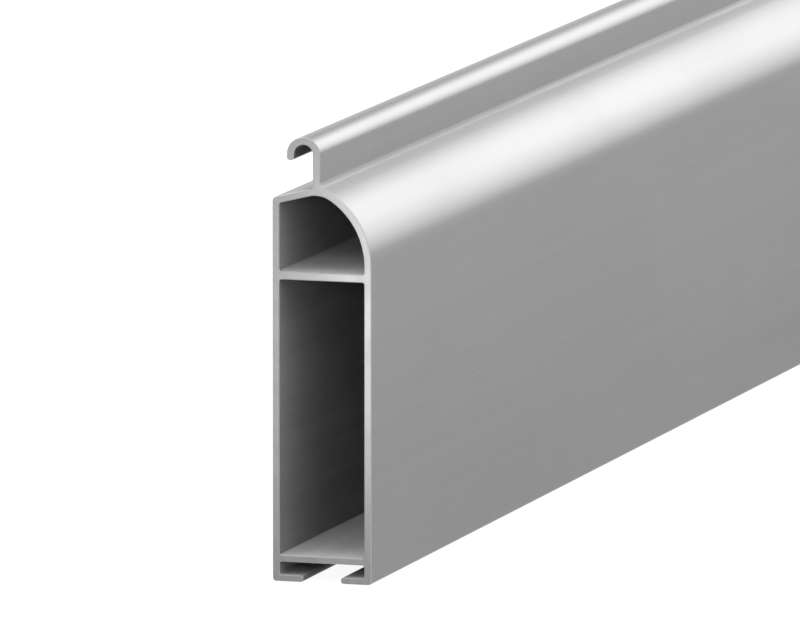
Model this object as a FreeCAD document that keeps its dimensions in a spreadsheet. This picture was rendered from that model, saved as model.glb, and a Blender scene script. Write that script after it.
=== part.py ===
import FreeCAD, Part
import Sketcher
import math
import os

# Bottom slat of a roller shutter: one extruded aluminium profile, cut square at both ends.
# X runs along the slat, the front face looks towards -Y, the back towards +Y and Z is up.
# The origin is the middle of the bottom, level with the undersides of the two lips.

# Sizes in millimetres, angles in degrees
size = {
    "slat_length": 1000.0,
    "depth": 22.0,
    "overall_height": 95.7,
    "back_wall": 1.5,
    "front_wall": 1.6,
    # Roof, rising from the back wall to the fin, with its eave below the top of the hook
    "eave_drop": 13.1,
    "roof_slope": 14.0,
    "roof_thickness": 1.5,
    # Shoulder, the round top of the front face, which meets the fin just above the roof
    "shoulder_radius": 18.1,
    "root_step": 0.37,
    # Fin and hook that hang the slat on the curtain
    "fin_setback": 9.0,
    "fin_thickness": 1.6,
    "hook_bore": 4.2,
    "hook_drop": 1.25,
    # Web between the two chambers, below the height where the shoulder starts
    "web_drop": 1.7,
    "web_thickness": 1.7,
    # Floor of the lower chamber, over the seal channel
    "floor_height": 4.2,
    "floor_thickness": 1.4,
    "lip_thickness": 1.4,
    "slot_width": 8.4,
    # Radii
    "chamber_radius": 0.5,
    "crown_radius": 6.0,
    "base_radius": 0.7,
    "eave_radius": 1.0,
    "front_root_radius": 1.5,
    "back_root_radius": 0.5,
    "lip_radius": 0.6,
    "tip_radius": 0.6,
}

doc = FreeCAD.newDocument("RollerShutterBottomSlat")
sheet = doc.addObject("Spreadsheet::Sheet", "Sizes")
for row, (name, number) in enumerate(size.items(), start=1):
    sheet.set(f"A{row}", name)
    sheet.set(f"B{row}", str(number))
    sheet.setAlias(f"B{row}", name)
doc.recompute()

# Places worked out from the sizes: where the sketches start and where the edges lie
slope = math.radians(size["roof_slope"])
eave_angle = math.pi / 2 + slope
front = -size["depth"] / 2
back = size["depth"] / 2
back_height = size["overall_height"] - size["eave_drop"]
front_inside = front + size["front_wall"]
back_inside = back - size["back_wall"]
fin_back = back - size["fin_setback"]
fin_front = fin_back - size["fin_thickness"]
hook_radius = size["hook_bore"] / 2 + size["fin_thickness"]
hook_y = fin_back + size["hook_bore"] / 2
hook_z = size["overall_height"] - hook_radius
tip_z = hook_z - size["hook_drop"]
leg_inside = fin_back + size["hook_bore"]
leg_outside = leg_inside + size["fin_thickness"]
roof_at_fin = back_height + size["fin_setback"] * math.tan(slope)
ceiling_at_back = back_height + size["back_wall"] * math.tan(slope)
ceiling_at_back -= size["roof_thickness"] / math.cos(slope)
floor_top = size["floor_height"] + size["floor_thickness"]

# The shoulder's arc touches the front face and ends at the fin; its inside keeps the same centre
shoulder_at_fin = roof_at_fin + size["root_step"]
shoulder_y = front + size["shoulder_radius"]
fin_angle = math.acos((fin_front - shoulder_y) / size["shoulder_radius"])
shoulder_height = shoulder_at_fin - size["shoulder_radius"] * math.sin(fin_angle)
inner_shoulder_radius = size["shoulder_radius"] - size["front_wall"]
web_top = shoulder_height - size["web_drop"]
web_bottom = web_top - size["web_thickness"]

# The crown is where the ceiling line crosses the round inside of the shoulder
ceiling_offset = (back_inside - shoulder_y) * math.sin(slope)
ceiling_offset += (ceiling_at_back - shoulder_height) * math.cos(slope)
crown_angle = math.pi / 2 - slope + math.acos(ceiling_offset / inner_shoulder_radius)
crown = (
    shoulder_y + inner_shoulder_radius * math.cos(crown_angle),
    shoulder_height + inner_shoulder_radius * math.sin(crown_angle),
)


# Sketch helpers: a sketch's own axes are the slat's Y and Z
body = doc.addObject("PartDesign::Body", "bottom_slat")
body.Label = "bottom_slat"
body.Placement = FreeCAD.Placement()
section_plane = next(f for f in body.Origin.OriginFeatures if f.Role == "YZ_Plane")
START, END, CENTRE = 1, 2, 3
ORIGIN = (-1, 1)

# Expressions that several sketches share
FRONT_INSIDE = "-Sizes.depth / 2 + Sizes.front_wall"
BACK_INSIDE = "Sizes.depth / 2 - Sizes.back_wall"
EAVE_ANGLE = "(90 + Sizes.roof_slope) * 1 deg"
BACK_HEIGHT = "Sizes.overall_height - Sizes.eave_drop"
SHOULDER_HEIGHT = "OutlineSketch.Constraints.shoulder_height / 1 mm"
WEB_TOP = f"{SHOULDER_HEIGHT} - Sizes.web_drop"


def new_sketch(name):
    sketch = body.newObject("Sketcher::SketchObject", name)
    sketch.AttachmentSupport = [(section_plane, "")]
    sketch.MapMode = "FlatFace"
    return sketch


def line(sketch, first, second):
    a = FreeCAD.Vector(*first, 0)
    b = FreeCAD.Vector(*second, 0)
    return sketch.addGeometry(Part.LineSegment(a, b))


def arc(sketch, centre, radius, start, end):
    circle = Part.Circle(FreeCAD.Vector(*centre, 0), FreeCAD.Vector(0, 0, 1), radius)
    return sketch.addGeometry(Part.ArcOfCircle(circle, start, end))


def join(sketch, first, first_end, second, second_end, kind="Coincident"):
    sketch.addConstraint(Sketcher.Constraint(kind, first, first_end, second, second_end))


def straight(sketch, kind, *lines):
    for geometry in lines:
        sketch.addConstraint(Sketcher.Constraint(kind, geometry))


def drive(sketch, kind, name, number, expression, *places):
    index = sketch.addConstraint(Sketcher.Constraint(kind, *places, number))
    sketch.renameConstraint(index, name)
    sketch.setExpression(f"Constraints.{name}", expression)


def drive_by_size(sketch, kind, name, *places):
    drive(sketch, kind, name, size[name], f"Sizes.{name}", *places)


def rectangle(name, sides, expressions):
    # Sides and their expressions are front, back, bottom and top, measured from the origin
    sketch = new_sketch(name)
    y0, y1, z0, z1 = sides
    bottom = line(sketch, (y0, z0), (y1, z0))
    right = line(sketch, (y1, z0), (y1, z1))
    top = line(sketch, (y1, z1), (y0, z1))
    left = line(sketch, (y0, z1), (y0, z0))
    join(sketch, bottom, END, right, START)
    join(sketch, right, END, top, START)
    join(sketch, top, END, left, START)
    join(sketch, left, END, bottom, START)
    straight(sketch, "Horizontal", bottom, top)
    straight(sketch, "Vertical", left, right)
    drive(sketch, "DistanceX", "front_side", y0, expressions[0], *ORIGIN, left, START)
    drive(sketch, "DistanceX", "back_side", y1, expressions[1], *ORIGIN, right, START)
    drive(sketch, "DistanceY", "bottom_side", z0, expressions[2], *ORIGIN, bottom, START)
    drive(sketch, "DistanceY", "top_side", z1, expressions[3], *ORIGIN, top, START)
    return sketch


def cut(name, sketch):
    # A pocket right through the slat, both ways from its middle
    before = body.Tip.Shape.Volume
    pocket = body.newObject("PartDesign::Pocket", name)
    pocket.Profile = sketch
    pocket.Type = "ThroughAll"
    pocket.SideType = "Symmetric"
    doc.recompute()
    if pocket.Shape.Volume >= before:
        raise RuntimeError(f"{name} removes nothing")


def long_edges(corners):
    # Names of the tip's edges that run along the slat through the given corners (y, z)
    names = []
    for y, z in corners:
        found = [
            f"Edge{number}"
            for number, edge in enumerate(body.Tip.Shape.Edges, start=1)
            if edge.BoundBox.XLength > size["slat_length"] / 2
            and math.hypot(edge.CenterOfMass.y - y, edge.CenterOfMass.z - z) < 0.01
        ]
        if len(found) != 1:
            raise RuntimeError(f"{len(found)} edges at {y:.3f}, {z:.3f}")
        names += found
    return names


def round_edges(name, corners, expression):
    solid = body.Tip
    edges = long_edges(corners)
    fillet = body.newObject("PartDesign::Fillet", name)
    fillet.Base = (solid, edges)
    fillet.setExpression("Radius", expression)
    doc.recompute()


# Outline of the whole profile, with the fin and the hook
outline = new_sketch("OutlineSketch")
base = line(outline, (back, 0), (front, 0))
face = line(outline, (front, 0), (front, shoulder_height))
shoulder = arc(outline, (shoulder_y, shoulder_height), size["shoulder_radius"], fin_angle, math.pi)
fin_face = line(outline, (fin_front, shoulder_at_fin), (fin_front, hook_z))
curl = arc(outline, (hook_y, hook_z), hook_radius, 0, math.pi)
leg = line(outline, (leg_outside, hook_z), (leg_outside, tip_z))
tip = line(outline, (leg_outside, tip_z), (leg_inside, tip_z))
inner_leg = line(outline, (leg_inside, tip_z), (leg_inside, hook_z))
bore = arc(outline, (hook_y, hook_z), size["hook_bore"] / 2, 0, math.pi)
fin_rear = line(outline, (fin_back, hook_z), (fin_back, roof_at_fin))
roof = line(outline, (fin_back, roof_at_fin), (back, back_height))
rear = line(outline, (back, back_height), (back, 0))

join(outline, base, END, face, START)
join(outline, face, END, shoulder, END, "Tangent")
join(outline, shoulder, START, fin_face, START)
join(outline, fin_face, END, curl, END, "Tangent")
join(outline, curl, START, leg, START, "Tangent")
join(outline, leg, END, tip, START)
join(outline, tip, END, inner_leg, START)
join(outline, inner_leg, END, bore, START, "Tangent")
join(outline, bore, END, fin_rear, START, "Tangent")
join(outline, fin_rear, END, roof, START)
join(outline, roof, END, rear, START)
join(outline, rear, END, base, START)
join(outline, curl, CENTRE, bore, CENTRE)
straight(outline, "Horizontal", base, tip)
straight(outline, "Vertical", face, fin_face, leg, inner_leg, fin_rear, rear)
outline.addConstraint(Sketcher.Constraint("Symmetric", base, START, base, END, *ORIGIN))

drive_by_size(outline, "DistanceX", "depth", base, END, base, START)
drive(outline, "DistanceY", "back_height", back_height, BACK_HEIGHT, rear, END, rear, START)
drive_by_size(outline, "Radius", "shoulder_radius", shoulder)
drive_by_size(outline, "DistanceY", "root_step", fin_rear, END, fin_face, START)
drive_by_size(outline, "DistanceX", "fin_setback", fin_rear, END, rear, START)
drive_by_size(outline, "DistanceX", "fin_thickness", fin_face, END, fin_rear, START)
drive_by_size(outline, "Diameter", "hook_bore", bore)
drive_by_size(outline, "DistanceY", "hook_drop", tip, START, curl, CENTRE)
hook_height = "Sizes.overall_height - Sizes.hook_bore / 2 - Sizes.fin_thickness"
drive(outline, "DistanceY", "hook_height", hook_z, hook_height, *ORIGIN, curl, CENTRE)
drive(outline, "Angle", "eave_angle", eave_angle, EAVE_ANGLE, roof, END, rear, START)

# A reference dimension: the height that the shoulder's arc works out to, read by the sketches inside
reference = outline.addConstraint(Sketcher.Constraint("DistanceY", face, START, face, END, shoulder_height))
outline.setDriving(reference, False)
outline.renameConstraint(reference, "shoulder_height")

profile = body.newObject("PartDesign::Pad", "Profile")
profile.Profile = outline
profile.Type = "Length"
profile.SideType = "Symmetric"
profile.setExpression("Length", "Sizes.slat_length")
doc.recompute()

# Upper chamber, under the sloping roof and the round shoulder
upper = new_sketch("UpperChamberSketch")
sill = line(upper, (back_inside, web_top), (front_inside, web_top))
front_side = line(upper, (front_inside, web_top), (front_inside, shoulder_height))
inner_shoulder = arc(upper, (shoulder_y, shoulder_height), inner_shoulder_radius, crown_angle, math.pi)
ceiling = line(upper, crown, (back_inside, ceiling_at_back))
back_side = line(upper, (back_inside, ceiling_at_back), (back_inside, web_top))
join(upper, sill, END, front_side, START)
join(upper, front_side, END, inner_shoulder, END, "Tangent")
join(upper, inner_shoulder, START, ceiling, START)
join(upper, ceiling, END, back_side, START)
join(upper, back_side, END, sill, START)
straight(upper, "Horizontal", sill)
straight(upper, "Vertical", front_side, back_side)
inner_radius = "Sizes.shoulder_radius - Sizes.front_wall"
back_ceiling = (
    f"{BACK_HEIGHT} + Sizes.back_wall * tan(Sizes.roof_slope * 1 deg)"
    " - Sizes.roof_thickness / cos(Sizes.roof_slope * 1 deg)"
)
drive(upper, "Radius", "inner_radius", inner_shoulder_radius, inner_radius, inner_shoulder)
drive(upper, "DistanceX", "front_inside", front_inside, FRONT_INSIDE, *ORIGIN, front_side, START)
drive(upper, "DistanceX", "back_inside", back_inside, BACK_INSIDE, *ORIGIN, back_side, END)
drive(upper, "DistanceY", "web_top", web_top, WEB_TOP, *ORIGIN, sill, START)
drive(upper, "DistanceY", "centre_height", shoulder_height, SHOULDER_HEIGHT, *ORIGIN, inner_shoulder, CENTRE)
drive(upper, "DistanceY", "ceiling_at_back", ceiling_at_back, back_ceiling, *ORIGIN, ceiling, END)
drive(upper, "Angle", "ceiling_angle", eave_angle, EAVE_ANGLE, ceiling, END, back_side, START)
cut("UpperChamber", upper)

# Lower chamber, between the web and the floor
lower = rectangle(
    "LowerChamberSketch",
    (front_inside, back_inside, floor_top, web_bottom),
    (
        FRONT_INSIDE,
        BACK_INSIDE,
        "Sizes.floor_height + Sizes.floor_thickness",
        f"{WEB_TOP} - Sizes.web_thickness",
    ),
)
cut("LowerChamber", lower)

# Seal channel under the floor, and the slot between its two lips
channel = rectangle(
    "SealChannelSketch",
    (front_inside, back_inside, size["lip_thickness"], size["floor_height"]),
    (FRONT_INSIDE, BACK_INSIDE, "Sizes.lip_thickness", "Sizes.floor_height"),
)
cut("SealChannel", channel)

# The slot's sketch starts below the lips and ends halfway up the channel
slot_top = (size["lip_thickness"] + size["floor_height"]) / 2
slot = rectangle(
    "SealSlotSketch",
    (-size["slot_width"] / 2, size["slot_width"] / 2, -size["lip_thickness"], slot_top),
    (
        "-Sizes.slot_width / 2",
        "Sizes.slot_width / 2",
        "-Sizes.lip_thickness",
        "(Sizes.lip_thickness + Sizes.floor_height) / 2",
    ),
)
cut("SealSlot", slot)

# Radii that the die leaves in the corners
chamber_corners = [
    (side, level)
    for side in (front_inside, back_inside)
    for level in (size["lip_thickness"], size["floor_height"], floor_top, web_bottom, web_top)
]
chamber_corners.append((back_inside, ceiling_at_back))
round_edges("ChamberFillets", chamber_corners, "Sizes.chamber_radius")
round_edges("CrownFillet", [crown], "Sizes.crown_radius")
round_edges("FrontRootFillet", [(fin_front, shoulder_at_fin)], "Sizes.front_root_radius")
round_edges("BackRootFillet", [(fin_back, roof_at_fin)], "Sizes.back_root_radius")
round_edges("EaveRound", [(back, back_height)], "Sizes.eave_radius")
round_edges("BaseRounds", [(front, 0), (back, 0)], "Sizes.base_radius")
lip_corners = [
    (side * size["slot_width"] / 2, level) for side in (-1, 1) for level in (0, size["lip_thickness"])
]
round_edges("LipRounds", lip_corners, "min(Sizes.lip_radius; 0.45 * Sizes.lip_thickness)")
tip_corners = [(leg_outside, tip_z), (leg_inside, tip_z)]
round_edges("TipRounds", tip_corners, "min(Sizes.tip_radius; 0.45 * Sizes.fin_thickness)")

# Every object has to be sound, and every sketch fully constrained, before anything is written
doc.recompute()
for item in doc.Objects:
    if "Invalid" in item.State or "Error" in item.State:
        raise RuntimeError(f"{item.Name} failed: {item.State}")
    if item.TypeId == "Sketcher::SketchObject" and not item.FullyConstrained:
        raise RuntimeError(f"{item.Name} can still move")
if body.Shape.isNull() or not body.Shape.isValid() or len(body.Shape.Solids) != 1:
    raise RuntimeError("bottom_slat isn't one valid solid")

os.makedirs("parts", exist_ok=True)
body.Shape.exportStep(f"parts/{body.Label}.step")
box = body.Shape.BoundBox
print(f"box {box.XLength:.2f} x {box.YLength:.2f} x {box.ZLength:.2f} mm, lowest point at {box.ZMin:.2f}")
print(f"volume {body.Shape.Volume / 1000:.1f} cm3")
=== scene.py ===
import bpy
import bmesh
import math
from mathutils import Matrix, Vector


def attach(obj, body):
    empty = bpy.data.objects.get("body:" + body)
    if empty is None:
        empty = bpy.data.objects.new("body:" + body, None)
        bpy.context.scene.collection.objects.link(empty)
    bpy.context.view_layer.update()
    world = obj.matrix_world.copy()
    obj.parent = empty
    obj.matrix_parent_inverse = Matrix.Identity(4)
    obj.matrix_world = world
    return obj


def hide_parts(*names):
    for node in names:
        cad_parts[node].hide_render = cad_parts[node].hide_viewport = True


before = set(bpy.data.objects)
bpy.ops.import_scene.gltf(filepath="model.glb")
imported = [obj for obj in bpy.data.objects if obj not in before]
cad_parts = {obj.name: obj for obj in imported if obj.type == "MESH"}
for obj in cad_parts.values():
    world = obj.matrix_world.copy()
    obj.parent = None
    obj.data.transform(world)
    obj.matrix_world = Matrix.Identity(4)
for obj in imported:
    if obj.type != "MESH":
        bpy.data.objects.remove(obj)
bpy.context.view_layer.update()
print("frame loaded")

mm = 0.001


# small helpers, most of them for building node trees

def connect(tree, source, target):
    # source is a socket, a Measure or a plain value for the target's own field
    if isinstance(source, Measure):
        source = source.socket
    if isinstance(source, bpy.types.NodeSocket):
        tree.links.new(source, target)
    else:
        target.default_value = source


def addNode(tree, kind, settings=None, **inputs):
    # an input whose name has spaces is given with underscores
    node = tree.nodes.new(kind)
    for name, value in (settings or {}).items():
        setattr(node, name, value)
    for name, value in inputs.items():
        connect(tree, value, node.inputs[name.replace("_", " ")])
    return node


class Measure:
    # a number inside a tree: sums, products and roots of it become nodes
    def __init__(self, tree, socket):
        self.tree = tree
        self.socket = socket

    def work(self, operation, *values):
        node = self.tree.nodes.new("ShaderNodeMath")
        node.operation = operation
        for place, value in zip(node.inputs, values):
            connect(self.tree, value, place)
        return Measure(self.tree, node.outputs[0])

    def __add__(self, other):
        return self.work("ADD", self, other)

    def __radd__(self, other):
        return self.work("ADD", other, self)

    def __sub__(self, other):
        return self.work("SUBTRACT", self, other)

    def __rsub__(self, other):
        return self.work("SUBTRACT", other, self)

    def __mul__(self, other):
        return self.work("MULTIPLY", self, other)

    def __truediv__(self, other):
        return self.work("DIVIDE", self, other)

    def __neg__(self):
        return self.work("MULTIPLY", self, -1.0)

    def root(self):
        return self.work("SQRT", self)

    def sine(self):
        return self.work("SINE", self)

    def cosine(self):
        return self.work("COSINE", self)

    def absolute(self):
        return self.work("ABSOLUTE", self)

    def least(self, other):
        return self.work("MINIMUM", self, other)

    def most(self, other):
        return self.work("MAXIMUM", self, other)

    def over(self, other):
        return self.work("GREATER_THAN", self, other)

    def under(self, other):
        return self.work("LESS_THAN", self, other)

    def smooth(self, low, high):
        # 0 at low, 1 at high, with an even passage between
        node = addNode(self.tree, "ShaderNodeMapRange", {"interpolation_type": "SMOOTHSTEP"},
                       Value=self, From_Min=low, From_Max=high)
        return Measure(self.tree, node.outputs[0])


def scaled(tree, vector, amount):
    node = addNode(tree, "ShaderNodeVectorMath", {"operation": "SCALE"}, Scale=amount)
    tree.links.new(vector, node.inputs[0])
    return node.outputs[0]


def combined(tree, operation, first, second, output=0):
    node = addNode(tree, "ShaderNodeVectorMath", {"operation": operation})
    connect(tree, first, node.inputs[0])
    connect(tree, second, node.inputs[1])
    return node.outputs[output]


def addObject(name, data):
    made = bpy.data.objects.new(name, data)
    bpy.context.scene.collection.objects.link(made)
    return made


# The slat. Its section is in millimetres: Y runs to the back, Z up, and the length along X
slatSizes = {
    "Length": 1000.0,
    "Depth": 22.0,
    "Height": 95.689,
    "Back wall": 1.5,
    "Front wall": 1.6,
    "Eave drop": 13.09,
    "Roof thickness": 1.5,
    "Shoulder radius": 18.1,
    "Root step": 0.37,
    "Fin setback": 9.0,
    "Fin thickness": 1.6,
    "Hook bore": 4.2,
    "Hook drop": 1.25,
    "Web drop": 1.7,
    "Web thickness": 1.7,
    "Floor height": 4.2,
    "Floor thickness": 1.4,
    "Lip thickness": 1.4,
    "Slot width": 8.4,
    "Chamber radius": 0.5,
    "Crown radius": 6.0,
    "Base radius": 0.7,
    "Eave radius": 1.0,
    "Front root radius": 1.5,
    "Back root radius": 0.5,
    "Lip radius": 0.6,
    "Tip radius": 0.6,
    "Sawn edge": 0.15,     # the small flat that deburring leaves round both ends
    "Straight step": 1.2,  # longest span on a straight run
    "Arc step": 0.33,      # longest span on an arc, roughly
    "Roof slope": 14.0,    # degrees
    "Length steps": 25,
}


def valueAt(tree, index, source):
    # what source says at the point with that number
    look = addNode(tree, "GeometryNodeFieldAtIndex", {"data_type": "FLOAT_VECTOR", "domain": "POINT"})
    tree.links.new(index, look.inputs["Index"])
    tree.links.new(source, look.inputs["Value"])
    return look.outputs[0]


def toNextPoint(tree):
    # how far each point of a loop is from the one that follows it
    index = addNode(tree, "GeometryNodeInputIndex").outputs[0]
    here = addNode(tree, "GeometryNodeInputPosition").outputs[0]
    following = addNode(tree, "GeometryNodeOffsetPointInCurve", Point_Index=index, Offset=1)
    there = valueAt(tree, following.outputs["Point Index"], here)
    return Measure(tree, combined(tree, "DISTANCE", here, there, "Value"))


def loop(tree, corners, arcStep, straightStep, inside):
    # corners are (y, z, radius); the loop's points run round them in order, with every corner rounded
    fewestSpans = 4.0      # on a rounding; the wider it is, the more are added
    samePoint = 0.02 * mm  # points that lie closer are one
    index = addNode(tree, "GeometryNodeInputIndex").outputs[0]
    place = addNode(tree, "GeometryNodeIndexSwitch", {"data_type": "VECTOR"}, Index=index)
    radius = addNode(tree, "GeometryNodeIndexSwitch", {"data_type": "FLOAT"}, Index=index)
    for switch in (place, radius):
        while len(switch.index_switch_items) < len(corners):
            switch.index_switch_items.new()
    for number, (y, z, r) in enumerate(corners):
        joined = addNode(tree, "ShaderNodeCombineXYZ", X=y, Y=z)
        tree.links.new(joined.outputs[0], place.inputs[number + 1])
        tree.links.new(r.socket, radius.inputs[number + 1])
    points = addNode(tree, "GeometryNodePoints", Count=len(corners), Position=place.outputs[0])
    curve = addNode(tree, "GeometryNodePointsToCurves", Points=points.outputs[0])
    cyclic = addNode(tree, "GeometryNodeSetSplineCyclic", Cyclic=True)
    tree.links.new(curve.outputs[0], cyclic.inputs[0])
    rounded = addNode(tree, "GeometryNodeFilletCurve", {"mode": "POLY"}, Radius=radius.outputs[0],
                      Count=Measure(tree, radius.outputs[0]) / arcStep + fewestSpans)
    tree.links.new(cyclic.outputs[0], rounded.inputs[0])
    # where two roundings meet, their shared point is kept once; straight runs are cut into short spans
    single = addNode(tree, "GeometryNodeDeleteGeometry", {"domain": "POINT"}, Geometry=rounded.outputs[0],
                     Selection=toNextPoint(tree).under(samePoint))
    spans = toNextPoint(tree) / straightStep
    divided = addNode(tree, "GeometryNodeSubdivideCurve", Curve=single.outputs[0],
                      Cuts=spans.work("FLOOR", spans))
    here = addNode(tree, "GeometryNodeInputPosition").outputs[0]
    marked = addNode(tree, "GeometryNodeStoreNamedAttribute", {"data_type": "FLOAT", "domain": "POINT"},
                     Geometry=divided.outputs[0], Name="inside", Value=inside(here))
    return marked.outputs[0]


def tangentHeight(y, centreY, centreZ, radius, towardsY, towardsZ):
    # height at y of the line that touches the circle where (towardsY, towardsZ) points
    return centreZ + (radius - towardsY * (y - centreY)) / towardsZ


def buildSlatTree():
    tree = bpy.data.node_groups.new("extrudedSlat", "GeometryNodeTree")
    sockets = tree.interface
    sockets.new_socket("Geometry", in_out="OUTPUT", socket_type="NodeSocketGeometry")
    for name, number in slatSizes.items():
        whole = isinstance(number, int)
        kind = "NodeSocketInt" if whole else "NodeSocketFloat"
        entry = sockets.new_socket(name, in_out="INPUT", socket_type=kind)
        if name == "Roof slope":
            entry.subtype = "ANGLE"
            entry.default_value = math.radians(number)
        else:
            entry.default_value = number if whole else number * mm
    for name in ("Skin", "Chamber", "Sawn end"):
        sockets.new_socket(name, in_out="INPUT", socket_type="NodeSocketMaterial")
    given = addNode(tree, "NodeGroupInput")
    size = {name: Measure(tree, given.outputs[name]) for name in slatSizes}

    # levels and sides of the section
    front, back = size["Depth"] * -0.5, size["Depth"] * 0.5
    frontIn, backIn = front + size["Front wall"], back - size["Back wall"]
    finBack = back - size["Fin setback"]
    finFront = finBack - size["Fin thickness"]
    sine, cosine = size["Roof slope"].sine(), size["Roof slope"].cosine()
    backHeight = size["Height"] - size["Eave drop"]
    roofAtFin = backHeight + size["Fin setback"] * sine / cosine
    ceiling = backHeight + (size["Back wall"] * sine - size["Roof thickness"]) / cosine
    floorTop = size["Floor height"] + size["Floor thickness"]
    half = size["Slot width"] * 0.5
    legIn = finBack + size["Hook bore"]
    legOut = legIn + size["Fin thickness"]
    boreRound = size["Hook bore"] * 0.5
    curl = boreRound + size["Fin thickness"]
    tip = size["Height"] - curl - size["Hook drop"]
    bore = size["Height"] - size["Fin thickness"]

    # shoulder: an arc that touches the front face and, through the root's own radius, the fin
    radius, root = size["Shoulder radius"], size["Front root radius"]
    centreY = front + radius
    reach = finFront - centreY
    centreZ = roofAtFin + size["Root step"] - (radius * radius - reach * reach).root()
    outY = (finFront - root - centreY) / (radius + root)
    outZ = (1.0 - outY * outY).root()

    # crown: a small arc between the sloping ceiling and the shoulder's round inside
    innerRadius, crown = radius - size["Front wall"], size["Crown radius"]
    rise = (backIn - centreY) * sine + (ceiling - centreZ) * cosine
    lift = rise - crown
    between = innerRadius - crown
    along = (between * between - lift * lift).root()
    inY = (lift * sine - along * cosine) / between
    inZ = (lift * cosine + along * sine) / between
    slide = (innerRadius * between - rise * lift) / along
    crownY = centreY + rise * sine - slide * cosine
    crownZ = centreZ + rise * cosine + slide * sine

    ground = front * 0.0
    webTop = centreZ - size["Web drop"]
    webBottom = webTop - size["Web thickness"]
    lipTop, channel = size["Lip thickness"], size["Floor height"]
    lip, small, base = size["Lip radius"], size["Chamber radius"], size["Base radius"]
    outline = [
        (front, ground, base),
        (-half, ground, lip), (-half, lipTop, lip), (frontIn, lipTop, small), (frontIn, channel, small),
        (backIn, channel, small), (backIn, lipTop, small), (half, lipTop, lip), (half, ground, lip),
        (back, ground, base),
        (back, backHeight, size["Eave radius"]),
        (finBack, roofAtFin, size["Back root radius"]),
        (finBack, bore, boreRound), (legIn, bore, boreRound),
        (legIn, tip, size["Tip radius"]), (legOut, tip, size["Tip radius"]),
        (legOut, size["Height"], curl), (finFront, size["Height"], curl),
        (finFront, tangentHeight(finFront, centreY, centreZ, radius, outY, outZ), root),
        (front, tangentHeight(front, centreY, centreZ, radius, outY, outZ), radius),
    ]
    lower = [
        (frontIn, floorTop, small), (frontIn, webBottom, small),
        (backIn, webBottom, small), (backIn, floorTop, small),
    ]
    upper = [
        (frontIn, webTop, small),
        (frontIn, tangentHeight(frontIn, centreY, centreZ, innerRadius, inY, inZ), innerRadius),
        (crownY, crownZ, crown),
        (backIn, ceiling, small), (backIn, webTop, small),
    ]

    def sheltered(position):
        # 1 in the seal channel and in the hook's bore, 0 on the rest of the outside
        margin = 0.1 * mm    # takes in the points that lie just on the limits
        outside = 1.0 * mm   # the channel's faces lie further in than this from front and back
        aboveTip = 0.5 * mm  # where the bore's faces begin on the hook's leg
        split = addNode(tree, "ShaderNodeSeparateXYZ", Vector=position)
        y, z = Measure(tree, split.outputs[0]), Measure(tree, split.outputs[1])
        inChannel = z.over(margin) * z.under(channel + margin * 2.0) * y.absolute().under(back - outside)
        inBore = (z.over(tip + aboveTip) * z.under(bore + margin)
                  * y.over(finBack - margin) * y.under(legIn + margin))
        return inChannel.most(inBore)

    def enclosed(position):
        return 1.0

    steps = size["Arc step"], size["Straight step"]
    section = addNode(tree, "GeometryNodeJoinGeometry")
    for corners, inside in ((outline, sheltered), (lower, enclosed), (upper, enclosed)):
        tree.links.new(loop(tree, corners, *steps, inside), section.inputs[0])

    # every point of the section remembers its place, which way the metal lies and how tightly it bends there
    tangent = addNode(tree, "GeometryNodeInputTangent").outputs[0]
    inward = combined(tree, "CROSS_PRODUCT", (0, 0, 1), tangent)
    position = addNode(tree, "GeometryNodeInputPosition").outputs[0]
    index = addNode(tree, "GeometryNodeInputIndex").outputs[0]
    around = []
    for offset in (1, -1):
        neighbour = addNode(tree, "GeometryNodeOffsetPointInCurve", Point_Index=index, Offset=offset)
        for source in (position, tangent):
            around.append(valueAt(tree, neighbour.outputs["Point Index"], source))
    turn = combined(tree, "DOT_PRODUCT", combined(tree, "SUBTRACT", around[1], around[3]), inward, "Value")
    apart = Measure(tree, combined(tree, "DISTANCE", around[0], around[2], "Value"))
    leastApart = 0.05 * mm
    bend = Measure(tree, turn) / apart.most(leastApart) * mm
    known = addNode(tree, "GeometryNodeCaptureAttribute", {"domain": "POINT"})
    remembered = (("VECTOR", "Place", position), ("VECTOR", "Inward", inward), ("FLOAT", "Bend", bend))
    for kind, name, value in remembered:
        known.capture_items.new(kind, name)
        connect(tree, value, known.inputs[name])
    tree.links.new(section.outputs[0], known.inputs[0])

    # the path: beside the steps' own points both ends get one more, so that the sawn edge has its small flat
    edge = size["Sawn edge"]
    count = size["Length steps"] + 3.0
    straight = addNode(tree, "GeometryNodeCurvePrimitiveLine")
    path = addNode(tree, "GeometryNodeResampleCurve", {"mode": "COUNT"}, Curve=straight.outputs[0],
                   Count=count)
    number = Measure(tree, addNode(tree, "GeometryNodeInputIndex").outputs[0])
    first = 1.0 - number.least(1.0)
    last = 1.0 - (count - 1.0 - number).least(1.0)
    share = ((number - 1.0) / size["Length steps"]).most(0.0).least(1.0)
    run = size["Length"] * -0.5 + edge + share * (size["Length"] - edge * 2.0) + (last - first) * edge
    ruled = addNode(tree, "GeometryNodeCaptureAttribute", {"domain": "POINT"})
    for name, value in (("Run", run), ("Rim", first + last)):
        ruled.capture_items.new("FLOAT", name)
        connect(tree, value, ruled.inputs[name])
    tree.links.new(path.outputs[0], ruled.inputs[0])

    def setBack(amount):
        # the section's place, moved into the metal by that amount
        return combined(tree, "ADD", known.outputs["Place"], scaled(tree, known.outputs["Inward"], amount))

    def turned(place, x):
        # from the section's own plane to the slat: its x to Y and its y to Z
        split = addNode(tree, "ShaderNodeSeparateXYZ", Vector=place)
        return addNode(tree, "ShaderNodeCombineXYZ", X=x, Y=split.outputs[0], Z=split.outputs[1]).outputs[0]

    def store(geometry, name, value):
        return addNode(tree, "GeometryNodeStoreNamedAttribute", {"data_type": "FLOAT", "domain": "POINT"},
                       Geometry=geometry, Name=name, Value=value).outputs[0]

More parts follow.
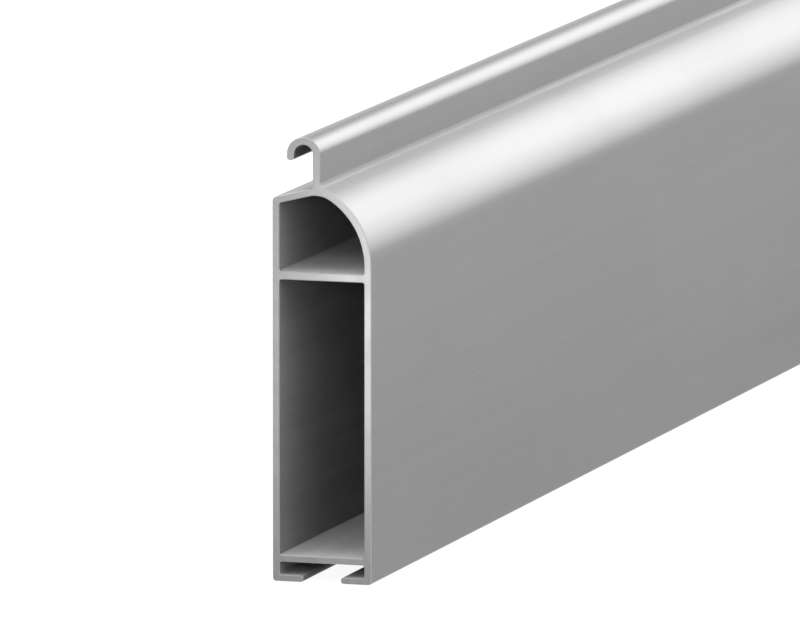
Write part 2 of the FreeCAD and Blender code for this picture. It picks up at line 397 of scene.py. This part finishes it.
    whole = addNode(tree, "GeometryNodeJoinGeometry")
    swept = addNode(tree, "GeometryNodeCurveToMesh", Curve=ruled.outputs[0], Profile_Curve=known.outputs[0])
    rim = Measure(tree, ruled.outputs["Rim"])
    walls = addNode(tree, "GeometryNodeSetPosition", Geometry=swept.outputs[0],
                    Position=turned(setBack(rim * edge), ruled.outputs["Run"]))
    bent = store(walls.outputs[0], "bend", known.outputs["Bend"])
    tree.links.new(store(bent, "cut", rim), whole.inputs[0])

    flat = addNode(tree, "GeometryNodeSetPosition", Geometry=known.outputs[0], Position=setBack(edge))
    filled = addNode(tree, "GeometryNodeFillCurve", {"mode": "TRIANGLES"}, Curve=flat.outputs[0])
    here = addNode(tree, "GeometryNodeInputPosition").outputs[0]
    for side in (-0.5, 0.5):
        cap = addNode(tree, "GeometryNodeSetPosition", Geometry=filled.outputs[0],
                      Position=turned(here, size["Length"] * side)).outputs[0]
        if side < 0:
            cap = addNode(tree, "GeometryNodeFlipFaces", Mesh=cap).outputs[0]
        tree.links.new(store(store(cap, "bend", 0.0), "cut", 1.0), whole.inputs[0])

    def above(source, limit):
        test = addNode(tree, "FunctionNodeCompare", {"data_type": "FLOAT", "operation": "GREATER_THAN"})
        tree.links.new(source, test.inputs["A"])
        test.inputs["B"].default_value = limit
        return test.outputs[0]

    def onFaces(name, share):
        # faces of whose points more than that share carry the named mark
        mark = addNode(tree, "GeometryNodeInputNamedAttribute", {"data_type": "FLOAT"}, Name=name)
        field = addNode(tree, "GeometryNodeFieldOnDomain", {"data_type": "FLOAT", "domain": "FACE"},
                        Value=mark.outputs[0])
        return above(field.outputs[0], share)

    # walls and ends become one mesh, shaded smooth but for its crisp edges
    weldDistance, crispAngle = 0.03 * mm, math.radians(32)
    welded = addNode(tree, "GeometryNodeMergeByDistance", Geometry=whole.outputs[0], Distance=weldDistance)
    corner = addNode(tree, "GeometryNodeInputMeshEdgeAngle").outputs["Unsigned Angle"]
    smooth = addNode(tree, "GeometryNodeSetShadeSmooth", {"domain": "FACE"}, Geometry=welded.outputs[0],
                     Shade_Smooth=True)
    edged = addNode(tree, "GeometryNodeSetShadeSmooth", {"domain": "EDGE"}, Geometry=smooth.outputs[0],
                    Selection=above(corner, crispAngle), Shade_Smooth=False)
    dressed = addNode(tree, "GeometryNodeRealizeInstances", Geometry=edged.outputs[0])
    faces = {"Skin": True, "Chamber": onFaces("inside", 0.5), "Sawn end": onFaces("cut", 0.25)}
    for name, chosen in faces.items():
        dressed = addNode(tree, "GeometryNodeSetMaterial", Geometry=dressed.outputs[0], Selection=chosen,
                          Material=given.outputs[name])
    out = addNode(tree, "NodeGroupOutput")
    tree.links.new(dressed.outputs[0], out.inputs[0])
    return tree


# Finishes. An effect that more than one finish uses is a group that puts out masks only

def newEffect(name, inputs, outputs):
    tree = bpy.data.node_groups.new(name, "ShaderNodeTree")
    for label, value in inputs.items():
        kind = "NodeSocketVector" if value is None else "NodeSocketFloat"
        entry = tree.interface.new_socket(label, in_out="INPUT", socket_type=kind)
        if value is not None:
            entry.default_value = value
    for label in outputs:
        tree.interface.new_socket(label, in_out="OUTPUT", socket_type="NodeSocketFloat")
    return tree, addNode(tree, "NodeGroupInput"), addNode(tree, "NodeGroupOutput")


def stretched(tree, coordinates, alongX, across):
    # coordinates counted in grains: one grain is alongX by across, both in millimetres
    size = addNode(tree, "ShaderNodeCombineXYZ", X=alongX, Y=across, Z=across)
    inMillimetres = scaled(tree, coordinates, 1.0 / mm)
    return combined(tree, "DIVIDE", inMillimetres, size.outputs[0])


def noise(tree, vector, detail=2.0, roughness=0.5, distortion=0.0):
    node = addNode(tree, "ShaderNodeTexNoise", Vector=vector, Scale=1.0, Detail=detail,
                   Roughness=roughness, Distortion=distortion)
    return Measure(tree, node.outputs[0])


# sizes are in millimetres, here and in the next two; a range holds the noise's values that give 0 and 1
dieLook = {
    "Line width": 0.3,
    "Line length": 240.0,
    "Line range": (0.3, 0.7),
    "Line relief": 0.6,  # the lines' share of the relief; the bands have the rest
    "Band width": 9.0,   # in line widths
    "Band range": (0.32, 0.68),
}


def buildDieLines():
    # long fine lines that the die leaves along the extrusion, and wider faint bands between them
    inputs = {"Coordinates": None}
    for name in ("Line width", "Line length"):
        inputs[name] = dieLook[name]
    tree, given, out = newEffect("dieLines", inputs, ("Lines", "Bands", "Height"))
    place, length = given.outputs["Coordinates"], given.outputs["Line length"]
    width, share = Measure(tree, given.outputs["Line width"]), dieLook["Line relief"]
    fine = noise(tree, stretched(tree, place, length, width), roughness=0.55)
    wide = noise(tree, stretched(tree, place, length, width * dieLook["Band width"]))
    lines, bands = fine.smooth(*dieLook["Line range"]), wide.smooth(*dieLook["Band range"])
    connect(tree, lines, out.inputs["Lines"])
    connect(tree, bands, out.inputs["Bands"])
    connect(tree, lines * share + bands * (1.0 - share), out.inputs["Height"])
    return tree


handlingLook = {
    "Patch size": 28.0,
    "Patch stretch": 1.8,
    "Patch warp": 0.6,
    "Patch range": (0.38, 0.68),
    "Scuff length": 45.0,
    "Scuff width": 0.3,
    "Scuff tilt": 0.03,          # radians, off the slat's length
    "Scuff range": (0.64, 0.82),
    "Scuffed area": (0.7, 0.5),  # along and across, in patch sizes
    "Area range": (0.56, 0.78),
}


def buildHandling():
    # what stacking, carrying and cutting leave: soft cloudy patches and long faint scuffs
    look = handlingLook
    inputs = {"Coordinates": None}
    for name in ("Patch size", "Scuff length"):
        inputs[name] = look[name]
    tree, given, out = newEffect("handling", inputs, ("Patches", "Scuffs"))
    place, patch = given.outputs["Coordinates"], Measure(tree, given.outputs["Patch size"])
    cloudy = noise(tree, stretched(tree, place, patch * look["Patch stretch"], patch),
                   detail=3.0, roughness=0.55, distortion=look["Patch warp"])
    tilted = addNode(tree, "ShaderNodeVectorRotate", {"rotation_type": "EULER_XYZ"}, Vector=place,
                     Rotation=(0.0, look["Scuff tilt"], 0.0)).outputs[0]
    grain = stretched(tree, tilted, given.outputs["Scuff length"], look["Scuff width"])
    thin = noise(tree, grain, detail=0.0)
    along, across = look["Scuffed area"]
    where = noise(tree, stretched(tree, place, patch * along, patch * across), detail=1.0)
    scuffs = thin.smooth(*look["Scuff range"]) * where.smooth(*look["Area range"])
    connect(tree, cloudy.smooth(*look["Patch range"]), out.inputs["Patches"])
    connect(tree, scuffs, out.inputs["Scuffs"])
    return tree


# bend is in 1/mm, from where the mark begins to where it is full, and below 0 in an inward corner;
# breaks says how much of the mark comes and goes with its grain
edgeLook = {
    "Rubbed": {"bend": (0.45, 1.5), "grain": (5.0, 0.8), "detail": 3.0, "roughness": 0.6,
               "range": (0.34, 0.62), "breaks": 0.65},
    "Hollows": {"bend": (-0.15, -0.5), "grain": (70.0, 1.6), "detail": 2.0, "roughness": 0.5,
              "range": (0.3, 0.7), "breaks": 0.3},
}


def buildEdgeRub():
    # bright rubbed metal on the outward corners; the inward ones are a mask
    # for painted light on the skin and painted shade in the chambers
    tree, given, out = newEffect("edgeRub", {"Coordinates": None, "Bend": 0.0}, edgeLook)
    place, bend = given.outputs["Coordinates"], Measure(tree, given.outputs["Bend"])
    for name, look in edgeLook.items():
        grain = noise(tree, stretched(tree, place, *look["grain"]), look["detail"], look["roughness"])
        broken = grain.smooth(*look["range"]) * look["breaks"] + (1.0 - look["breaks"])
        connect(tree, bend.smooth(*look["bend"]) * broken, out.inputs[name])
    return tree


dieLines = buildDieLines()
handling = buildHandling()
edgeRub = buildEdgeRub()

# what all three finishes share
metal = {
    "Roughness limits": (0.12, 0.95),
    "Drift grain": (160.0, 45.0),  # millimetres
    "Drift range": (0.3, 0.7),
    "Red": (0.996, 0.006),         # without the drift, and what the drift adds
    "Blue": (1.008, -0.008),
}


class Finish:
    # a material with one Principled shader, the slat's own coordinates and its masks at hand
    def __init__(self, name, settings):
        self.material = bpy.data.materials.new(name)
        self.material.use_nodes = True
        self.tree = self.material.node_tree
        self.shader = self.tree.nodes["Principled BSDF"]
        self.settings = settings
        self.place = addNode(self.tree, "ShaderNodeTexCoord").outputs["Object"]
        self.shader.inputs["Metallic"].default_value = settings["Metallic"]
        edge = settings["Edge tint"]
        self.shader.inputs["Specular Tint"].default_value = (edge, edge, edge, 1.0)

    def mark(self, name):
        node = addNode(self.tree, "ShaderNodeAttribute", {"attribute_name": name})
        return Measure(self.tree, node.outputs["Fac"])

    def coordinate(self, axis):
        # in millimetres
        split = addNode(self.tree, "ShaderNodeSeparateXYZ", Vector=self.place)
        return Measure(self.tree, split.outputs[axis]) / mm

    def facingUp(self):
        normal = addNode(self.tree, "ShaderNodeNewGeometry").outputs["Normal"]
        return Measure(self.tree, addNode(self.tree, "ShaderNodeSeparateXYZ", Vector=normal).outputs["Z"])

    def effect(self, group, **inputs):
        node = addNode(self.tree, "ShaderNodeGroup", {"node_tree": group}, Coordinates=self.place, **inputs)
        return {socket.name: Measure(self.tree, socket) for socket in node.outputs}

    def total(self, start, masks, column):
        # start and what the masks add to it: column 0 has the amounts for the shade, 1 for the roughness
        for name, mask in masks.items():
            amount = self.settings["Amounts"][name][column]
            if amount:
                start = start + mask * amount
        return start

    def complete(self, masks, height, *factors):
        # the shade and its factors multiply the plain grey; height is the relief from 0 to 1
        shade = self.total(1.0, masks, 0)
        for factor in factors:
            shade = shade * factor
        lowest, highest = metal["Roughness limits"]
        roughness = self.total(self.settings["Roughness"], masks, 1).most(lowest).least(highest)
        colour = scaled(self.tree, self.hue(), shade * self.settings["Grey"])
        bump = addNode(self.tree, "ShaderNodeBump", Height=height, Strength=1.0,
                       Distance=self.settings["Relief"] * mm)
        connect(self.tree, colour, self.shader.inputs["Base Color"])
        connect(self.tree, roughness, self.shader.inputs["Roughness"])
        connect(self.tree, bump.outputs[0], self.shader.inputs["Normal"])
        return self.material

    def hue(self):
        # the metal drifts a little between cool and warm from one stretch to the next
        grain = stretched(self.tree, self.place, *metal["Drift grain"])
        drift = noise(self.tree, grain, detail=1.0).smooth(*metal["Drift range"])
        red, redDrift = metal["Red"]
        blue, blueDrift = metal["Blue"]
        return addNode(self.tree, "ShaderNodeCombineXYZ", X=red + drift * redDrift, Y=1.0,
                       Z=blue + drift * blueDrift).outputs[0]


# in the finishes, lengths are in millimetres, and a fading mask has a pair: where it is 0 and where it is 1
skinFinish = {
    "Grey": 0.28,
    "Edge tint": 0.7,
    "Metallic": 1.0,
    "Roughness": 0.26,
    "Relief": 0.001,
    "Scuff relief": 0.05,        # share of the relief
    "Line width": 0.42,
    "Patch size": 34.0,
    "Foot height": (95.0, 0.0),  # painted shade: the metal is painted darker from its top towards its foot
    "Top": 82.3,                 # just under the roof's low edge
    "Ledge depth": (-3.0, -1.3),
    "Ledge light share": 0.8,           # share of the painted light on the shoulder's top beside the fin, against 1 in the fin's root
    "Trough height": (91.0, 90.0),
    "Trough depth": (1.5, 1.9),
    "Trough dust": 0.45,         # how much the dust behind the fin takes from the metal's sheen
    "Amounts": {                 # what each mask adds to the shade and to the roughness
        "Lines": (0.035, 0.025),
        "Bands": (0.03, 0.0),
        "Patches": (-0.02, 0.014),
        "Scuffs": (0.035, 0.03),
        "Rubbed": (0.12, -0.04),
        # painted light in the fin's root and beside it, which are also rougher
        "Root light": (0.17, 0.42),
        # painted light on the shoulder's top beside the fin
        "Ledge": (0.12, 0.0),
        "Trough": (0.0, 0.25),
        # painted shade towards the foot
        "Foot shade": (-0.11, 0.0),
    },
}


def makeSkin():
    # drawn through the die, then carried and stacked
    look = skinFinish
    finish = Finish("extrudedSkin", look)
    drawn = finish.effect(dieLines, Line_width=look["Line width"])
    used = finish.effect(handling, Patch_size=look["Patch size"])
    edges = finish.effect(edgeRub, Bend=finish.mark("bend"))
    height, depth = finish.coordinate("Z"), finish.coordinate("Y")
    onTop = height.over(look["Top"])
    trough = onTop * height.smooth(*look["Trough height"]) * depth.smooth(*look["Trough depth"])
    # the shoulder's top beside the fin, where light is painted
    ledge = onTop * depth.smooth(*look["Ledge depth"]) * depth.under(0.0)
    connect(finish.tree, 1.0 - trough * look["Trough dust"], finish.shader.inputs["Metallic"])
    masks = {
        "Lines": drawn["Lines"] - 0.5,
        "Bands": drawn["Bands"] - 0.5,
        "Patches": used["Patches"] - 0.5,
        "Scuffs": used["Scuffs"],
        "Rubbed": edges["Rubbed"],
        # painted light in the fin's root and on the shoulder beside it
        "Root light": edges["Hollows"].most(ledge * look["Ledge light share"]),
        "Ledge": ledge,
        "Trough": trough,
        # painted shade: darker towards the foot
        "Foot shade": height.smooth(*look["Foot height"]),
    }
    return finish.complete(masks, drawn["Height"] - used["Scuffs"] * look["Scuff relief"])


chamberFinish = {
    "Grey": 0.29,
    "Edge tint": 1.0,
    "Gloss": 0.25,
    "Metallic": 0.1,
    "Roughness": 0.68,
    "Relief": 0.006,
    "Line width": 0.45,
    "Patch size": 14.0,
    "Hook height": (82.0, 88.0),
    "Hook shade": 0.5,         # how much darker the painted shade makes the hook's bore
    "Lip height": 1.6,          # the lips' tops are below it
    # painted shade on the lips' faces along the slot
    "Lip shade": 0.35,
    "Lit slope": (0.3, 0.9),  # the upward part of a face's direction, over which light is painted
    "Floor light": 0.6,                # how much lighter the painted light makes the floors
    # painted shade: the walls are darker low down
    "Low shade height": (40.0, 6.0),
    "Low shade foot": 5.0,          # the channel, below it, has none of that painted shade
    "Amounts": {
        "Lines": (0.09, 0.08),
        "Bands": (0.08, 0.0),
        "Patches": (-0.08, 0.08),
        # painted shade in the inward corners, which are also rougher
        "Hollows": (-0.15, 0.1),
        "Low shade": (-0.27, 0.0),
    },
}


def makeChamber():
    # never touched after the press: dull, with painted shade low down on the walls, in the inward corners,
    # in the hook's bore and along the slot, and painted light on the floors
    look = chamberFinish
    finish = Finish("chamberWall", look)
    drawn = finish.effect(dieLines, Line_width=look["Line width"])
    used = finish.effect(handling, Patch_size=look["Patch size"])
    edges = finish.effect(edgeRub, Bend=finish.mark("bend"))
    finish.shader.inputs["Specular IOR Level"].default_value = look["Gloss"]
    height = finish.coordinate("Z")
    # painted shade in the hook's bore and on the lips' faces along the slot
    recessShade = (height.smooth(*look["Hook height"]) * look["Hook shade"]
              + height.under(look["Lip height"]) * look["Lip shade"])
    # painted light: faces that look upwards are lighter
    upwardLit = finish.facingUp().smooth(*look["Lit slope"])
    # painted shade low down on the walls, but not on the floors nor in the channel
    lowDown = height.smooth(*look["Low shade height"]) * height.over(look["Low shade foot"])
    masks = {
        "Lines": drawn["Lines"] - 0.5,
        "Bands": drawn["Bands"] - 0.5,
        "Patches": used["Patches"] - 0.5,
        # painted shade in the inward corners
        "Hollows": edges["Hollows"],
        "Low shade": lowDown * (1.0 - upwardLit),
    }
    return finish.complete(masks, drawn["Height"], 1.0 - recessShade, 1.0 + upwardLit * look["Floor light"])


sawnFinish = {
    "Grey": 0.252,
    "Edge tint": 0.9,
    "Metallic": 1.0,
    "Roughness": 0.34,
    "Relief": 0.0025,
    "Patch size": 9.0,
    "Blade centre": (150.0, -60.0),  # in Y and Z, where the blade's axle stood
    "Tooth step": 0.55,
    "Tooth range": (0.32, 0.68),
    "Wander size": 6.0,
    "Wander": (0.8, 0.7),            # how far the arcs leave their course, and how they break along it
    "Sawn mark": (0.55, 0.98),       # the mark of the cut, from the filed edge to the sawn face
    # painted shade: the sawn face darker towards its foot
    "Foot height": (35.0, 0.0),
    "Amounts": {
        "Arcs": (0.07, 0.06),
        "Patches": (-0.04, 0.03),
        "Scuffs": (0.03, 0.0),
        # a rougher filed edge, painted paler: partly bare metal, partly a painted highlight
        "Deburred": (0.7, 0.3),
        "Foot shade": (-0.1, 0.0),
    },
}


def makeSawnEnd():
    # shallow arcs of the saw's teeth, and an edge that the file left rougher;
    # its paleness is partly bare metal and partly a painted highlight
    look = sawnFinish
    finish = Finish("sawnEnd", look)
    tree = finish.tree
    height, (bladeY, bladeZ) = finish.coordinate("Z"), look["Blade centre"]
    offY, offZ = finish.coordinate("Y") - bladeY, height - bladeZ
    fromAxle = (offY * offY + offZ * offZ).root() / look["Tooth step"]
    cloud = noise(tree, stretched(tree, finish.place, look["Wander size"], look["Wander size"]))
    astray, broken = look["Wander"]
    course = addNode(tree, "ShaderNodeCombineXYZ", X=fromAxle + cloud * astray, Y=cloud * broken).outputs[0]
    arcs = noise(tree, course, roughness=0.7).smooth(*look["Tooth range"])
    used = finish.effect(handling, Patch_size=look["Patch size"])
    masks = {
        "Arcs": arcs - 0.5,
        "Patches": used["Patches"] - 0.5,
        "Scuffs": used["Scuffs"],
        # the filed edge: rougher, and paler partly as bare metal and partly as a painted highlight
        "Deburred": 1.0 - finish.mark("cut").smooth(*look["Sawn mark"]),
        # painted shade towards the foot
        "Foot shade": height.smooth(*look["Foot height"]),
    }
    return finish.complete(masks, arcs)


finishes = {"Skin": makeSkin(), "Chamber": makeChamber(), "Sawn end": makeSawnEnd()}
print("finishes ready:", ", ".join(material.name for material in finishes.values()))


def makeSlat():
    tree = buildSlatTree()
    slat = addObject("bottomSlat", bpy.data.meshes.new("bottomSlat"))
    maker = slat.modifiers.new("extrusion", "NODES")
    maker.node_group = tree
    for item in tree.interface.items_tree:
        if item.in_out == "INPUT" and item.name in finishes:
            maker[item.identifier] = finishes[item.name]
    level = slat.modifiers.new("flatFaces", "WEIGHTED_NORMAL")
    level.mode = "FACE_AREA"
    level.weight = 80
    level.keep_sharp = True
    depsgraph = bpy.context.evaluated_depsgraph_get()
    made = bpy.data.meshes.new_from_object(slat.evaluated_get(depsgraph), depsgraph=depsgraph)
    slat.modifiers.clear()
    slat.data = made
    for number in reversed(range(len(made.materials))):
        if made.materials[number] is None:
            made.materials.pop(index=number)
    check = bmesh.new()
    check.from_mesh(made)
    loose = sum(1 for e in check.edges if len(e.link_faces) != 2 or not e.is_contiguous)
    triangles = sum(len(f.verts) - 2 for f in check.faces)
    print("slat:", triangles, "triangles,", loose, "edges open or turned,",
          round(check.calc_volume(signed=True) * 1e6, 2), "cm3,", [m.name for m in made.materials],
          [sum(1 for f in check.faces if f.material_index == n) for n in range(len(made.materials))])
    check.free()
    return slat


slat = makeSlat()
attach(slat, "root")
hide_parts("bottom_slat")


# Floor, room and lamps

studio = {
    "Floor reach": 70.0,
    "Floor grey": 0.11,
    "Floor glow": 0.93,
    "Room level": 1.24,
}

# azimuth and elevation of a lamp seen from its target, in degrees; level 1 is white; sizes in metres.
# The two lamps that reach into the chambers light only what is dull, so that no metal mirrors them
lamps = {
    "Key panel": {"target": (-0.4, 0.0, 0.07), "azimuth": -13, "elevation": 13.3, "distance": 2.0,
                  "size": (1.65, 1.65), "level": 2.4},
    "End lamp": {"target": (-0.5, -0.018, 0.064), "azimuth": 163, "elevation": -8.2, "distance": 0.1,
                 "size": (0.05, 0.13), "level": 4.4},
    "Mouth lamp": {"target": (-0.5, 0.0, 0.03), "azimuth": 185, "elevation": 36, "distance": 0.35,
                   "size": (0.15, 0.15), "level": 10.5, "mirrored": False},
    "Deep lamp": {"target": (-0.5, 0.0, 0.05), "azimuth": 187, "elevation": 11, "distance": 1.0,
                  "size": (0.2, 0.2), "level": 72.0, "mirrored": False},
    "Front strip": {"target": (0.0, 0.0, 0.05), "azimuth": -90, "elevation": 56, "distance": 1.2,
                    "size": (4.4, 0.6), "level": 3.8},
    "Back strip": {"target": (0.0, 0.0, 0.05), "azimuth": 90, "elevation": 62, "distance": 1.2,
                   "size": (4.4, 0.6), "level": 3.8},
}


def direction(azimuth, elevation):
    # a vector of length 1; azimuth from +X towards +Y, elevation up from the ground, both in degrees
    turn, rise = math.radians(azimuth), math.radians(elevation)
    return Vector((math.cos(rise) * math.cos(turn), math.cos(rise) * math.sin(turn), math.sin(rise)))


def makeFloor():
    far = studio["Floor reach"]
    mesh = bpy.data.meshes.new("floor")
    mesh.from_pydata([(-far, -far, 0), (far, -far, 0), (far, far, 0), (-far, far, 0)], [], [(0, 1, 2, 3)])
    floor = addObject("floor", mesh)
    material = bpy.data.materials.new("paleFloor")
    material.use_nodes = True
    tree = material.node_tree
    tree.nodes.clear()
    grey = studio["Floor grey"]
    diffuse = addNode(tree, "ShaderNodeBsdfDiffuse", Color=(grey, grey, grey, 1))
    path = addNode(tree, "ShaderNodeLightPath")
    seen = Measure(tree, path.outputs["Is Camera Ray"])
    for kind in ("Is Glossy Ray", "Is Transmission Ray"):
        seen = seen.most(path.outputs[kind])
    glow = addNode(tree, "ShaderNodeEmission", Color=(1, 1, 1, 1), Strength=seen * studio["Floor glow"])
    both = addNode(tree, "ShaderNodeAddShader")
    tree.links.new(diffuse.outputs[0], both.inputs[0])
    tree.links.new(glow.outputs[0], both.inputs[1])
    out = addNode(tree, "ShaderNodeOutputMaterial")
    tree.links.new(both.outputs[0], out.inputs["Surface"])
    mesh.materials.append(material)


def makeRoom():
    world = bpy.data.worlds.new("studio")
    world.use_nodes = True
    background = world.node_tree.nodes["Background"]
    background.inputs["Color"].default_value = (1, 1, 1, 1)
    background.inputs["Strength"].default_value = studio["Room level"]
    bpy.context.scene.world = world


def softbox(name, lamp):
    # a panel that is brightest in the middle and fades out to its rim
    data = bpy.data.lights.new(name, "AREA")
    data.shape = "RECTANGLE"
    data.size, data.size_y = lamp["size"]
    data.energy = lamp["level"] * math.pi * data.size * data.size_y
    data.use_nodes = True
    tree = data.node_tree
    onPanel = addNode(tree, "ShaderNodeNewGeometry").outputs["Parametric"]
    fromMiddle = Measure(tree, combined(tree, "DISTANCE", onPanel, (0.5, 0.5, 0.0), "Value"))
    toSide = fromMiddle * 2.0  # 0 in the middle, 1 at the sides
    connect(tree, toSide.smooth(1.0, 0.1), tree.nodes["Emission"].inputs["Strength"])
    away = direction(lamp["azimuth"], lamp["elevation"])
    holder = addObject(name, data)
    holder.location = Vector(lamp["target"]) + away * lamp["distance"]
    holder.rotation_euler = away.to_track_quat("Z", "Y").to_euler()
    holder.visible_camera = False
    holder.visible_glossy = lamp.get("mirrored", True)


makeFloor()
makeRoom()
for name, lamp in lamps.items():
    softbox(name, lamp)
print("studio ready")


cameraView = {
    "target": (-0.5, 0.0, 0.0),  # the foot of the near end
    "sensor": 36.0,              # millimetres, like the lens
    "lens": 799.5,
    "yaw": 16.936,               # degrees, like the pitch
    "pitch": 8.176,              # downwards
    "distance": 3.78798,         # metres, like the next two
    "right": 0.016634,
    "up": 0.056099,
    "clip": (0.1, 300.0),
}


def addCamera():
    data = bpy.data.cameras.new("camera")
    data.sensor_width = cameraView["sensor"]
    data.lens = cameraView["lens"]
    data.clip_start, data.clip_end = cameraView["clip"]
    forward = direction(cameraView["yaw"], -cameraView["pitch"])
    right = direction(cameraView["yaw"] - 90, 0)
    up = right.cross(forward)
    camera = addObject("camera", data)
    camera.location = (Vector(cameraView["target"]) - forward * cameraView["distance"]
                       + right * cameraView["right"] + up * cameraView["up"])
    camera.rotation_euler = (-forward).to_track_quat("Z", "Y").to_euler()
    bpy.context.scene.camera = camera


addCamera()
bpy.context.scene.view_settings.view_transform = "Standard"
print("camera ready")
